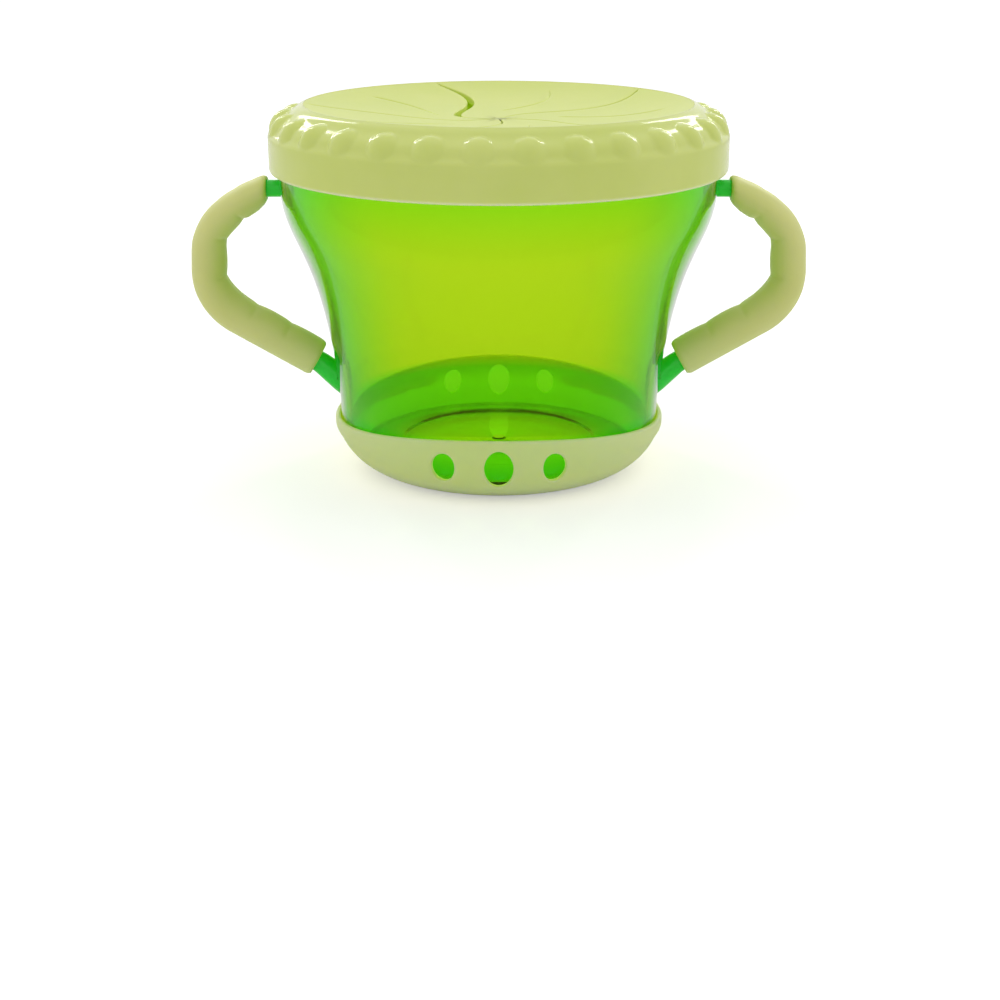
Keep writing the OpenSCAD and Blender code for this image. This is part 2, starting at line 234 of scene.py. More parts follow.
def addLamps():
    for name, lamp in studio["lamps"].items():
        data = bpy.data.lights.new(name, "AREA")
        data.shape = "RECTANGLE"
        data.size, data.size_y = [s * mm for s in lamp["size"]]
        data.energy = lamp["watts"]
        box = addObject(name, data)
        box.visible_camera = False
        box.visible_transmission = False
        box.location = Vector(lamp["place"]) * mm
        aim = Vector(lamp["aim"]) * mm - box.location
        box.rotation_euler = aim.to_track_quat("-Z", "Y").to_euler()


def addFloor():
    bm = bmesh.new()
    bmesh.ops.create_grid(bm, x_segments=1, y_segments=1, size=studio["floorReach"] * mm)
    floor = addObject("floor", asMesh(bm, "floor"))
    paint = bpy.data.materials.new("paleFloor")
    paint.use_nodes = True
    tree = paint.node_tree
    tree.nodes.clear()
    matt = addNode(tree, "ShaderNodeBsdfDiffuse", {"Color": (*studio["floorColour"], 1)})
    path = addNode(tree, "ShaderNodeLightPath")
    lift = mathNode(tree, "MULTIPLY", path.outputs["Is Camera Ray"], studio["floorLift"])
    glow = addNode(tree, "ShaderNodeEmission", {"Strength": lift})
    both = addNode(tree, "ShaderNodeAddShader", {0: matt.outputs[0], 1: glow.outputs[0]})
    addNode(tree, "ShaderNodeOutputMaterial", {"Surface": both.outputs[0]})
    floor.data.materials.append(paint)
    print("floor and light made")


bpy.context.scene.view_settings.view_transform = "Standard"
addCamera()
addWorld()
addLamps()
addFloor()


# the lid without its leaves: one sector with one pearl is shaped, then copied round

lid = {
    "skirtR": 50, "skirtZ": 67, "lipR": 0.8,      # outer face and lower edge of the skirt
    "skirtInR": 48.4, "ceilingZ": 73.6,
    "ledgeZ": 75.3, "ledgeEdge": 1.0,
    "crownR": 42.2, "crownZ": 81,                 # the crown's highest ring
    "shoulder": 5.8, "shoulderC": (40.601, 75.425),
    "plugR": 45.6, "plugInR": 44.2, "plugZ": 71, "topT": 1.8,
    "dish": 3.6, "dishPower": 3,
    "pearls": 30, "pearlR": 4.35, "pearlAt": 45.5, "pearlTurn": -4.8,
    "bead": (45.5, 75.3, 3.2),   # round bead that the pearls stand out of: R, z, radius
    "cornerBlend": 1.6,          # soft corners between ledge, bead and crown
    "pearlBlend": 0.35,          # soft corner round each pearl
    "bandFrom": 62, "crownFrom": 50,             # heights, under the lip, that band and crown rise from
    "crestIn": 0.3, "crestDown": 0.6,            # the corner under the crest, where the leaves start
    "sectorSteps": 26, "lipSteps": 5, "bendSteps": 6, "bendTo": 70,
    "heart": (45.5, 73.5),       # point inside the section that the outer skin is seen from
    "seedR": 5,                  # the skin starts as an arc round the heart, at these angles
    "topRays": (110, 14, 62),    # from, to, how many
    "skirtRays": (10, 8),        # from, how many down to the lip
    "far": 14, "near": 1, "walks": 60, "walkShare": 0.9,   # the walk along each angle onto the skin
}


def dishZ(r):
    return lid["crownZ"] - lid["dish"] * (1 - (min(r, lid["crownR"]) / lid["crownR"]) ** lid["dishPower"])


def roundedBox(r, z, rMax, zMin, zMax, corner):
    dr = r - (rMax - corner)
    mid = (zMin + zMax) / 2
    dz = np.abs(z - mid) - (zMax - mid - corner)
    return np.hypot(np.maximum(dr, 0), np.maximum(dz, 0)) + np.minimum(np.maximum(dr, dz), 0) - corner


def softUnion(a, b, k):
    h = np.maximum(k - np.abs(a - b), 0) / k
    return np.minimum(a, b) - h * h * k / 4


def lidDistance(p):  # how far each point stands off the lid's outer skin
    r, z = np.hypot(p[:, 0], p[:, 1]), p[:, 2]
    band = roundedBox(r, z, lid["skirtR"], lid["bandFrom"], lid["ledgeZ"], lid["ledgeEdge"])
    (cr, cz), bend = lid["shoulderC"], lid["shoulder"]
    crown = roundedBox(r, z, cr + bend, lid["crownFrom"], cz + bend, bend)
    beadR, beadZ, bead = lid["bead"]
    body = softUnion(band, crown, lid["cornerBlend"])
    body = softUnion(body, np.hypot(r - beadR, z - beadZ) - bead, lid["cornerBlend"])
    turn = math.radians(lid["pearlTurn"])
    ball = Vector((lid["pearlAt"] * math.sin(turn), -lid["pearlAt"] * math.cos(turn), lid["ledgeZ"]))
    pearl = np.linalg.norm(p - np.array(ball), axis=1) - lid["pearlR"]
    return softUnion(body, pearl, lid["pearlBlend"])


def ontoLid(points):
    r = np.hypot(points[:, 0], points[:, 1])
    out = np.stack([points[:, 0] / r, points[:, 1] / r], axis=1)
    heartR, heartZ = lid["heart"]
    heart = np.stack([out[:, 0] * heartR, out[:, 1] * heartR, np.full(len(r), heartZ)], axis=1)
    ray = points - heart
    ray /= np.linalg.norm(ray, axis=1)[:, None]
    far = np.full(len(r), float(lid["far"]))
    for walk in range(lid["walks"]):  # in from outside until the skin is met
        gap = lidDistance(heart + ray * far[:, None])
        far = np.maximum(far - np.maximum(gap, 0) * lid["walkShare"], lid["near"])
    outward = ray[:, 0] * out[:, 0] + ray[:, 1] * out[:, 1]
    reach = (lid["skirtR"] - heartR) / np.maximum(outward, 1e-6)
    return heart + ray * np.minimum(far, reach)[:, None]  # nothing stands out past the skirt


def lidOutlines():  # a fan round the heart that becomes the outer skin, and the inside as it is
    heartR, heartZ = lid["heart"]
    lipR, crownR = lid["lipR"], lid["crownR"]
    top = math.degrees(math.atan2(lid["crownZ"] - heartZ, crownR - heartR))
    low = math.degrees(math.atan2(lid["skirtZ"] + lipR - heartZ, lid["skirtR"] - heartR))
    skirtFrom, skirtCount = lid["skirtRays"]
    rays = [top, *np.linspace(*lid["topRays"]), *np.linspace(skirtFrom, low, skirtCount)]
    outer = [(heartR + lid["seedR"] * math.cos(a), 0, heartZ + lid["seedR"] * math.sin(a))
             for a in (math.radians(ray) for ray in rays)]
    inner = (arcPoints(lid["skirtR"] - lipR, lid["skirtZ"] + lipR, lipR, 0, -90, lid["lipSteps"])
             + [(lid["skirtInR"], 0, lid["skirtZ"]), (lid["skirtInR"], 0, lid["ceilingZ"]),
                (lid["plugR"], 0, lid["ceilingZ"]), (lid["plugR"], 0, lid["plugZ"]),
                (lid["plugInR"], 0, lid["plugZ"]), (lid["plugInR"], 0, lid["ceilingZ"])]
             + arcPoints(*lid["shoulderC"], lid["shoulder"] - lid["topT"], 0, lid["bendTo"], lid["bendSteps"])
             + [(crownR - lid["crestIn"], 0, lid["crownZ"] - lid["crestDown"]), (crownR, 0, lid["crownZ"])])
    return outer, inner


def addLidBand():
    sector = 360 / lid["pearls"]
    start = Matrix.Rotation(math.radians(lid["pearlTurn"] - 90 - sector / 2), 4, "Z")
    bm, lower = bmesh.new(), bmesh.new()
    for part, outline in zip((bm, lower), lidOutlines()):
        chain(part, outline)
        bmesh.ops.transform(part, matrix=start, verts=part.verts)
        spinRound(part, lid["sectorSteps"], sector)
    places = ontoLid(np.array([v.co for v in bm.verts]) / mm)
    for v, p in zip(bm.verts, places):
        v.co = Vector(p) * mm
    scrap = asMesh(lower, "scrap")
    bm.from_mesh(scrap)
    bpy.data.meshes.remove(scrap)
    bmesh.ops.remove_doubles(bm, verts=bm.verts, dist=atSeam)
    spinRound(bm, lid["pearls"] - 1, 360 - sector, copies=True)
    piece = asPiece(bm, "lidBand", "lid", ["lid_ring"])
    print("lid band:", len(piece.data.polygons), "faces")
    return piece


lidBand = addLidBand()


# the leaves that the slits leave; x runs along a slit, from the lid's middle to the crest

leaf = {
    "count": 5, "turn": 39,
    "slitR": 41.5, "bow": 3.8, "cross": 17, "slopeStep": 0.2,
    "hingeR": 33.574, "hingeBand": 1.2,
    "tipR": 0.75,
    "gap": 0.14,                            # half the width of a closed slit
    "openSlit": 1, "openGap": 0.78,         # the one slit that stands ajar
    "openFrom": 6.4, "openEase": 1.2, "openClose": 12, "openHook": 4.2, "hookAt": 5.5,
    "edge": 0.3, "edgeSteps": 5,            # rounding of a leaf's edges
    "endEase": 1.2,                         # slit and rounding run out over this length at the slit's end
    "leastEdge": 0.02,                      # share of the rounding that is left there
    "veinIn": 13, "veinOut": 36, "veinW": 0.34, "veinD": 0.3, "veinEase": 2,
    "veinSteps": 5, "veinAtTip": 0.2,       # near the tip the vein is this share of the radius wide
    "rows": 84, "columns": 12, "columnSpan": (0.46, 0.04),
}


def isOpen(slit):
    return slit % leaf["count"] == leaf["openSlit"]


def slitAngle(slit):
    return math.radians(leaf["turn"] + 360 / leaf["count"] * slit)


def slitPoint(x, offset, slit):
    cross, end, bow, step = leaf["cross"], leaf["slitR"], leaf["bow"], leaf["slopeStep"]

    def swing(x):  # the line bows to one side, and to the other further out
        if x < cross:
            return bow * cross / (end - cross) * math.sin(math.pi * x / cross)
        return -bow * math.sin(math.pi * min(x - cross, end - cross) / (end - cross))

    y, lean = swing(x), math.atan(swing(x + step) / (2 * step) - swing(x - step) / (2 * step))
    if isOpen(slit):
        y += leaf["openHook"] * x / leaf["hookAt"] * math.exp(1 - x / leaf["hookAt"])
    a = slitAngle(slit)
    px, py = x - offset * math.sin(lean), y + offset * math.cos(lean)
    return px * math.cos(a) - py * math.sin(a), px * math.sin(a) + py * math.cos(a)


def slitGap(x, slit):
    gap, left = leaf["gap"], leaf["slitR"] - x
    if isOpen(slit):
        inner = clamp((x - leaf["openFrom"]) / leaf["openEase"])
        gap += (leaf["openGap"] - gap) * math.sqrt(inner) * clamp(left / leaf["openClose"])
    return gap * clamp(left / leaf["endEase"])


def leafSection():  # round a leaf's section: share of the width, inset or place in the vein, drop
    edge, thick, n = leaf["edge"], lid["topT"], leaf["columns"]
    middle, side = leaf["columnSpan"]
    corner = [(edge * (1 - math.sin(a)), edge * (1 - math.cos(a)))
              for a in np.linspace(0, math.pi / 2, leaf["edgeSteps"])]
    half = ([(0.5, s, 0) for s in np.linspace(0, -1, leaf["veinSteps"])]
            + [(t, 0, 0) for t in np.linspace(middle, side, n)]
            + [(0, inset, drop) for inset, drop in corner]
            + [(0, inset, thick - drop) for inset, drop in reversed(corner)]
            + [(t, 0, thick) for t in np.linspace(side, middle, n)] + [(0.5, 0, thick)])
    return half + [(1 - t, -inset if t == 0.5 else inset, drop) for t, inset, drop in reversed(half)][1:]


def leafPlace(k):
    section, edge, thick = leafSection(), leaf["edge"], lid["topT"]

    def vein(x):  # depth of the groove's middle
        ease = leaf["veinEase"]
        return leaf["veinD"] * min(1, max(0, x - leaf["veinIn"]) / ease, max(0, leaf["veinOut"] - x) / ease)

    def place(i, j):
        x = leaf["tipR"] + (lid["crownR"] - leaf["tipR"]) * (i / leaf["rows"])
        share, inset, drop = section[j]
        fade = min(1, max(leaf["leastEdge"], (leaf["slitR"] - x) / leaf["endEase"]))
        inset, soft = inset * fade, edge * fade
        if drop < edge:
            drop *= fade
        elif drop > thick - edge:
            drop = thick - (thick - drop) * fade
        low = slitPoint(x, slitGap(x, k - 1) + (inset if share == 0 else soft), k - 1)
        high = slitPoint(x, -slitGap(x, k) - (inset if share == 1 else soft), k)
        if share == 0:
            px, py = low
        elif share == 1:
            px, py = high
        else:
            ra, rb = math.hypot(*low), math.hypot(*high)
            aa = math.atan2(low[1], low[0])
            ab = aa + (math.atan2(high[1], high[0]) - aa) % (2 * math.pi)
            if share == 0.5 and drop == 0:
                drop = vein(x) * (1 + math.cos(math.pi * inset)) / 2
                if i < leaf["rows"]:
                    share += min(leaf["veinW"], leaf["veinAtTip"] * ra) * inset / (ra * (ab - aa))
            r, a = ra + (rb - ra) * share, aa + (ab - aa) * share
            px, py = r * math.cos(a), r * math.sin(a)
        r = math.hypot(px, py)
        if i == leaf["rows"]:  # the last row closes on the crest
            px, py, r, drop = px / r * lid["crownR"], py / r * lid["crownR"], lid["crownR"], 0
        return px, py, dishZ(r) - drop

    return place, len(section) - 1


def addLeaf(k):
    bm = bmesh.new()
    place, columns = leafPlace(k)
    sheet(bm, leaf["rows"], columns, place)
    closeEnds(bm)
    name = f"leaf_{k}"
    piece = asPiece(bm, f"softLeaf{k}", None, [name])
    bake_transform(piece)
    return piece


leaves = [addLeaf(k) for k in range(1, leaf["count"] + 1)]
print("leaves:", sum(len(p.data.polygons) for p in leaves), "faces")


# the boot

boot = {
    "r": 37.25, "innerR": 36.1, "h": 15.5, "sole": 3,
    "roundC": (24.25, 12.9), "roundR": 13, "innerRound": 11.85,
    "rim": 0.5,
    "waveR": 184.5, "waveFrom": 8, "waveTop": 0.8,   # the rim dips towards the handles
    "soleRings": (0, 12, 20), "bedRings": (20, 10, 0),
    "skinRings": (0.3, 0.6, 0.85), "innerRings": (0.6, 0.1),   # shares of the straight part's height
    "steps": 144, "roundSteps": 26, "innerSteps": 16, "rimSteps": 5,
    "windowStep": 19.2,
    "windows": {"middle": (6.2, 8.8, 0), "side": (5.2, 6.8, 0.12)},  # width, height, lean of the tip
    "windowEgg": 0.12, "windowSides": 40,
    "windowEdge": ((-1.6, 1.4), (-0.25, 0.75), (0, 0.42), (0.05, 0.28),   # depth under the skin, and how
                   (0.14, 0.15), (0.28, 0.05), (0.45, 0), (4, 0)),        # much wider the window is there
    "front": {"facing": 0, "size": (1, 1), "z": 8.8},
    "rear": {"facing": 180, "size": (0.86, 0.84), "z": 9.4},
    "wallGlow": 0.6, "glowTop": 13, "glowFade": 4,   # how the painted glow inside the boot falls off, share and mm
    "skinNear": 0.05,                                # points as near as this to the inner skin are on it
}


def bootSkinR(z):
    rc, zc = boot["roundC"]
    return boot["r"] if z > zc else rc + math.sqrt(max(0, boot["roundR"] ** 2 - (z - zc) ** 2))


def windowShape(width, height, lean):
    points = []
    for i in range(boot["windowSides"]):
        a = 2 * math.pi * i / boot["windowSides"]
        u, v = math.cos(a) * width / 2, math.sin(a) * height / 2
        points.append((u * (1 + boot["windowEgg"] * v / height) - lean * v, v))
    return points


def windowCutter(angle, width, height, lean, middleZ):
    outline = windowShape(width, height, lean)
    n = len(outline)
    a = math.radians(angle)

    def place(i, j):
        depth, grow = boot["windowEdge"][i]
        u, v = outline[j % n]
        size = math.hypot(u / width, v / height)
        nu, nv = u / width ** 2 / size, v / height ** 2 / size
        scale = math.hypot(nu, nv)
        u, v = u + nu / scale * grow, v + nv / scale * grow
        z = middleZ + v
        r = bootSkinR(z) - depth
        y = -math.sqrt(r * r - u * u)
        return u * math.cos(a) - y * math.sin(a), u * math.sin(a) + y * math.cos(a), z

    bm = bmesh.new()
    sheet(bm, len(boot["windowEdge"]) - 1, n, place)
    closeEnds(bm)
    bmesh.ops.recalc_face_normals(bm, faces=bm.faces)
    return bm


def windowCutters():
    cutters = []
    for row in (boot["front"], boot["rear"]):
        wide, tall = row["size"]
        for side, spot in ((0, "middle"), (-1, "side"), (1, "side")):
            width, height, lean = boot["windows"][spot]
            angle = row["facing"] + side * boot["windowStep"]
            cutters.append(windowCutter(angle, width * wide, height * tall, side * lean, row["z"]))
    return cutters


def lightBootInside(data):  # marks the inner skin that is painted to glow, standing in for light that comes through the boot
    rc, zc = boot["roundC"]
    near = boot["skinNear"]
    glow = data.attributes.new("glow", "FLOAT", "POINT")
    for i, v in enumerate(data.vertices):
        r, z = math.hypot(v.co.x, v.co.y) / mm, v.co.z / mm
        bed = r < rc and z > boot["sole"] - near
        over = r - boot["innerR"] if z > zc else math.hypot(r - rc, z - zc) - boot["innerRound"]
        wall = over < near
        fade = clamp((boot["glowTop"] - z) / boot["glowFade"])
        glow.data[i].value = fade * (1 if bed else boot["wallGlow"] * (wall and r >= rc))


def addBoot():
    rc, zc = boot["roundC"]
    low = math.degrees(math.asin(zc / boot["roundR"]))
    lowIn = math.degrees(math.asin((zc - boot["sole"]) / boot["innerRound"]))
    rim, top, rimSteps = boot["rim"], boot["h"], boot["rimSteps"]
    corner = rc + boot["roundR"] * math.cos(math.radians(low))
    bm = turned([(r, 0, 0) for r in (*boot["soleRings"], corner)]
                + arcPoints(rc, zc, boot["roundR"], -low, 0, boot["roundSteps"])[1:]
                + [(boot["r"], 0, zc + (top - rim - zc) * f) for f in boot["skinRings"]]
                + arcPoints(boot["r"] - rim, top - rim, rim, 0, 90, rimSteps)
                + arcPoints(boot["innerR"] + rim, top - rim, rim, 90, 180, rimSteps)
                + [(boot["innerR"], 0, zc + (top - rim - zc) * f) for f in boot["innerRings"]]
                + arcPoints(rc, zc, boot["innerRound"], 0, -lowIn, boot["innerSteps"])
                + [(r, 0, boot["sole"]) for r in boot["bedRings"]], boot["steps"])
    for v in bm.verts:
        x, z = v.co.x / mm, v.co.z / mm
        share = clamp((z - boot["waveFrom"]) / (top - boot["waveTop"] - boot["waveFrom"]))
        drop = boot["waveR"] - math.sqrt(boot["waveR"] ** 2 - x * x)
        v.co.z = (z - drop * share) * mm
    bmesh.ops.recalc_face_normals(bm, faces=bm.faces)
    bm = combine(bm, windowCutters(), "DIFFERENCE")
    piece = asPiece(bm, "softBoot", "vessel", ["base_boot"])
    lightBootInside(piece.data)
    print("boot:", len(piece.data.polygons), "faces")
    return piece


softBoot = addBoot()


# the line that a handle's core and grip follow: out of the wall, down, and back to the waist

handle = {
    "bendX": 51, "stubZ": 62.2, "upR": 14, "uprightLen": 3.7, "lowR": 12.6,
    "slope": 30.5, "armLen": 20.4, "rootSlope": 40, "rootR": 12,
    "lean": ((0, 0.1), (3, -0.9), (7, -1.5), (11, -1.4), (15, -0.9),   # how far the grip's middle stands
             (20, -0.4), (30, -0.15), (40, -0.3), (60, -0.5)),         # off the line: along it, off it
}


def handleMarks():  # lengths along the line: end of the upper bend, of the upright and of the lower bend
    upLen = handle["upR"] * math.pi / 2
    lowAt = upLen + handle["uprightLen"]
    return upLen, lowAt, lowAt + handle["lowR"] * math.radians(90 - handle["slope"])


def handleAt(s):
    upLen, lowAt, armAt = handleMarks()
    upR, lowR, rootR, armLen = handle["upR"], handle["lowR"], handle["rootR"], handle["armLen"]
    reach, top = handle["bendX"] + upR, handle["stubZ"] - upR
    foot = top - handle["uprightLen"]
    slope, lowTurn = math.radians(handle["slope"]), math.radians(90 - handle["slope"])
    if s < 0:
        return handle["bendX"] + s, handle["stubZ"], 0
    if s < upLen:
        a = math.pi / 2 * (1 - s / upLen)
        return handle["bendX"] + upR * math.cos(a), top + upR * math.sin(a), a - math.pi / 2
    if s < lowAt:
        return reach, top - (s - upLen), -math.pi / 2
    if s < armAt:
        a = -(s - lowAt) / lowR
        return reach - lowR * (1 - math.cos(a)), foot + lowR * math.sin(a), a - math.pi / 2
    armX, armZ = reach - lowR * (1 - math.cos(lowTurn)), foot - lowR * math.sin(lowTurn)
    d = s - armAt
    if s < armAt + armLen:
        return armX - d * math.cos(slope), armZ - d * math.sin(slope), slope - math.pi
    endX, endZ = armX - armLen * math.cos(slope), armZ - armLen * math.sin(slope)
    turn, d = math.radians(handle["rootSlope"]) - slope, d - armLen
    b = min(turn, d / rootR)
    x = endX - rootR * (math.sin(slope + b) - math.sin(slope))
    z = endZ - rootR * (math.cos(slope) - math.cos(slope + b))
    rest = max(0, d - rootR * turn)
    return x - rest * math.cos(slope + b), z - rest * math.sin(slope + b), slope + b - math.pi


def ringPoint(s, u, w, side):
    x, z, heading = handleAt(s)
    u += np.interp(s, *zip(*handle["lean"])) if s < grip["len"] else 0
    return side * (x - math.sin(heading) * u), w, z + math.cos(heading) * u


# the grips

grip = {
    "topA": 3.05, "lowA": 4.2, "b": 4.7, "len": 59.18,
    "valleys": (0, 0.147, 0.3, 0.474, 0.702, 0.847, 1),
    "pads": (0.6, 0.5, 0.45, 0.6, 0.35, 0.25),  # how far each pad stands above its valleys
    "padPower": 3,
    "dimple": 0.22, "dimpleLen": 0.7,           # two at each valley: depth, length
    "dimpleAt": 42, "dimpleSpread": 22,         # degrees round from the loop's inside
    "endIn": 0.75, "endLen": 1.2, "endRings": 7, "bore": 2.1,
    "rings": 150, "sides": 40,
}


def padHeight(s):
    marks = [v * grip["len"] for v in grip["valleys"]]
    for low, high, pad in zip(marks, marks[1:], grip["pads"]):
        if low <= s <= high:
            f = (s - low) / (high - low)
            return pad * 4 * f * (1 - f)
    return 0


def addGrip(side):
    bm = bmesh.new()
    length, endLen, rings, ends = grip["len"], grip["endLen"], grip["rings"], grip["endRings"]
    spots = ([endLen * (1 - math.cos(a)) for a in np.linspace(0, math.pi / 2, ends)]
             + [endLen + (length - 2 * endLen) * i / rings for i in range(1, rings)]
             + [length - endLen * (1 - math.cos(a)) for a in np.linspace(math.pi / 2, 0, ends)])
    rows = [(s, True) for s in spots] + [(s, False) for s in reversed(spots)] + [(spots[0], True)]
    armAt = handleMarks()[2]

    def place(i, j):
        s, skin = rows[i]
        t = 2 * math.pi * (j % grip["sides"]) / grip["sides"]
        if not skin:
            return ringPoint(s, grip["bore"] * math.cos(t), grip["bore"] * math.sin(t), side)
        d = min(s, length - s)
        inset = grip["endIn"] * (1 - math.sqrt(max(0, 1 - (1 - d / endLen) ** 2))) if d < endLen else 0
        a = grip["topA"] + (grip["lowA"] - grip["topA"]) * min(1, s / armAt)
        along = min(abs(s - v * length) for v in grip["valleys"][1:-1]) / grip["dimpleLen"]
        across = (abs(math.degrees(t) - 180) - grip["dimpleAt"]) / grip["dimpleSpread"]
        dent = grip["dimple"] * math.exp(-along ** 2) * math.exp(-across ** 2)
        u = (a - inset) * math.cos(t) - padHeight(s) * max(0, -math.cos(t)) ** grip["padPower"]
        scale = 1 - dent / a
        return ringPoint(s, u * scale, (grip["b"] - inset) * math.sin(t) * scale, side)

    sheet(bm, len(rows) - 1, grip["sides"], place)
    name, node = ("softGripRight", "right_grip") if side > 0 else ("softGripLeft", "left_grip")
    return asPiece(bm, name, "vessel", [node])


grips = [addGrip(1), addGrip(-1)]
print("grips:", sum(len(p.data.polygons) for p in grips), "faces")


# the clear cup, one with the handles' cores

cup = {
    "h": 73.4, "rimR": 48, "waistR": 36, "wall": 2, "baseZ": 3.1, "floorZ": 5.2,
    "bandH": 7.4, "lean": 5.6, "flareLow": 38, "flareHigh": 16, "waistZ": 15.5, "flareSteps": 26,
    "roundC": (24.25, 12.9), "footRound": 11.75, "footSteps": 16,
    "gate": ((0, 0.3), (1.35, 0.3), (1.6, 0.05), (1.8, 0)),   # spot in the floor's middle: R, height over it
    "floorStep": ((21.3, 0), (21.6, 0.04), (22.1, 0.16), (22.4, 0.2)),
    "rimEdge": 0.5, "rimSteps": 5, "rimStraight": 3, "rimLift": 0.02,
    "baseRings": (0, 10, 20), "topRings": (40, 0),
    "past": 2,                                                # how far the hollow reaches over the rim
    "steps": 160, "smoothBelow": 30,
    "coreR": 1.9, "coreFrom": -6.5, "coreTo": 70, "coreRings": 150, "coreSides": 28,
    "neckR": 2.4, "rootR": 2.9, "neckAt": 0.6, "neckLen": 7,  # the bare root is stouter than in the grip
    "wallFrom": 24, "wallEase": 4, "footTo": 15.4,            # R where the wall starts, Z where the foot ends
    # painted shade: the wall's tint deepens toward the lid, standing in for the lid's shadow
    "lidShade": 0.6, "lidShadeFrom": 54, "lidShadeLen": 12, "lidShadePower": 1.3,
    "coreProud": 0.1, "coreBelow": 66, "rimPaint": 0.52,      # faces that have the solid paint
}


def flarePoints(inset):
    a = np.array([cup["waistR"], cup["waistZ"]])
    b = a + cup["flareLow"] * np.array([math.tan(math.radians(cup["lean"])), 1])
    d = np.array([cup["rimR"], cup["h"] - cup["bandH"]])
    c = d - np.array([0, cup["flareHigh"]])
    points = []
    for i in range(cup["flareSteps"] + 1):
        t = i / cup["flareSteps"]
        p = (1 - t) ** 3 * a + 3 * (1 - t) ** 2 * t * b + 3 * (1 - t) * t * t * c + t ** 3 * d
        points.append((p[0] - inset, 0, p[1]))
    return points


def coreMesh(side):
    start, length, sides = cup["coreFrom"], cup["coreTo"] - cup["coreFrom"], cup["coreSides"]

    def place(i, j):
        s = start + length * i / cup["coreRings"]
        r = cup["coreR"]
        if s > grip["len"] - cup["neckAt"]:
            r = cup["neckR"] + (cup["rootR"] - cup["neckR"]) * min(1, (s - grip["len"]) / cup["neckLen"])
        t = 2 * math.pi * (j % sides) / sides
        return ringPoint(s, r * math.cos(t), r * math.sin(t), side)

    bm = bmesh.new()
    sheet(bm, cup["coreRings"], sides, place)
    closeEnds(bm)
    bmesh.ops.recalc_face_normals(bm, faces=bm.faces)
    return bm


def cupOutlines():  # of the outside, and of the hollow that is cut from it
    rc, zc = cup["roundC"]
    edge, top, rimR, base, floor = cup["rimEdge"], cup["h"], cup["rimR"], cup["baseZ"], cup["floorZ"]
    low = math.degrees(math.asin((zc - base) / cup["footRound"]))
    outside = ([(r, 0, base) for r in cup["baseRings"]]
               + arcPoints(rc, zc, cup["footRound"], -low, 0, cup["footSteps"]) + flarePoints(0)
               + [(rimR, 0, top - cup["rimStraight"])]
               + arcPoints(rimR - edge, top - edge, edge, 0, 90, cup["rimSteps"])
               + [(r, 0, top) for r in cup["topRings"]])
    inR, mouthR = cup["footRound"] - cup["wall"], rimR - cup["wall"]
    stepZ = floor + cup["floorStep"][-1][1]
    lowIn = math.degrees(math.asin((zc - stepZ) / inR))
    hollow = ([(r, 0, floor + up) for r, up in cup["gate"] + cup["floorStep"]]
              + arcPoints(rc, zc, inR, -lowIn, 0, cup["footSteps"]) + flarePoints(cup["wall"])
              + [(mouthR, 0, top - edge), (mouthR + edge, 0, top + cup["rimLift"]),
                 (mouthR + edge, 0, top + cup["past"]), (0, 0, top + cup["past"])])
    return outside, hollow


def markCup(data):
    foot = data.attributes.new("foot", "FLOAT", "POINT")
    wall = data.attributes.new("wall", "FLOAT", "POINT")
    for i, v in enumerate(data.vertices):
        r, z = math.hypot(v.co.x, v.co.y) / mm, v.co.z / mm
        onWall = clamp((r - cup["wallFrom"]) / cup["wallEase"])
        # foot: deeper green low in the boot, and painted shade rising toward the lid
        high = clamp((z - cup["lidShadeFrom"]) / cup["lidShadeLen"]) ** cup["lidShadePower"]
        foot.data[i].value = max(onWall * (z < cup["footTo"]), cup["lidShade"] * high)
        wall.data[i].value = onWall
    heights, widths = zip(*[(z, x) for x, _, z in flarePoints(0)])
    for face in data.polygons:  # the handles' cores and the rim's edge get a paint of their own
        x, y, z = face.center / mm
        onCore = math.hypot(x, y) > np.interp(z, heights, widths) + cup["coreProud"] and z < cup["coreBelow"]
        face.material_index = int(onCore or z > cup["h"] - cup["rimPaint"])


def addCup():
    bm, hollow = [turned(outline, cup["steps"]) for outline in cupOutlines()]
    for part in (bm, hollow):
        bmesh.ops.recalc_face_normals(part, faces=part.faces)
    bm = combine(bm, [coreMesh(1), coreMesh(-1)], "UNION")
    bm = combine(bm, [hollow], "DIFFERENCE")
    piece = asPiece(bm, "clearCup", "vessel", ["cup"], cup["smoothBelow"])
    markCup(piece.data)
    print("cup:", len(piece.data.polygons), "faces")
    return piece


clearCup = addCup()


# the paints; lengths in mm

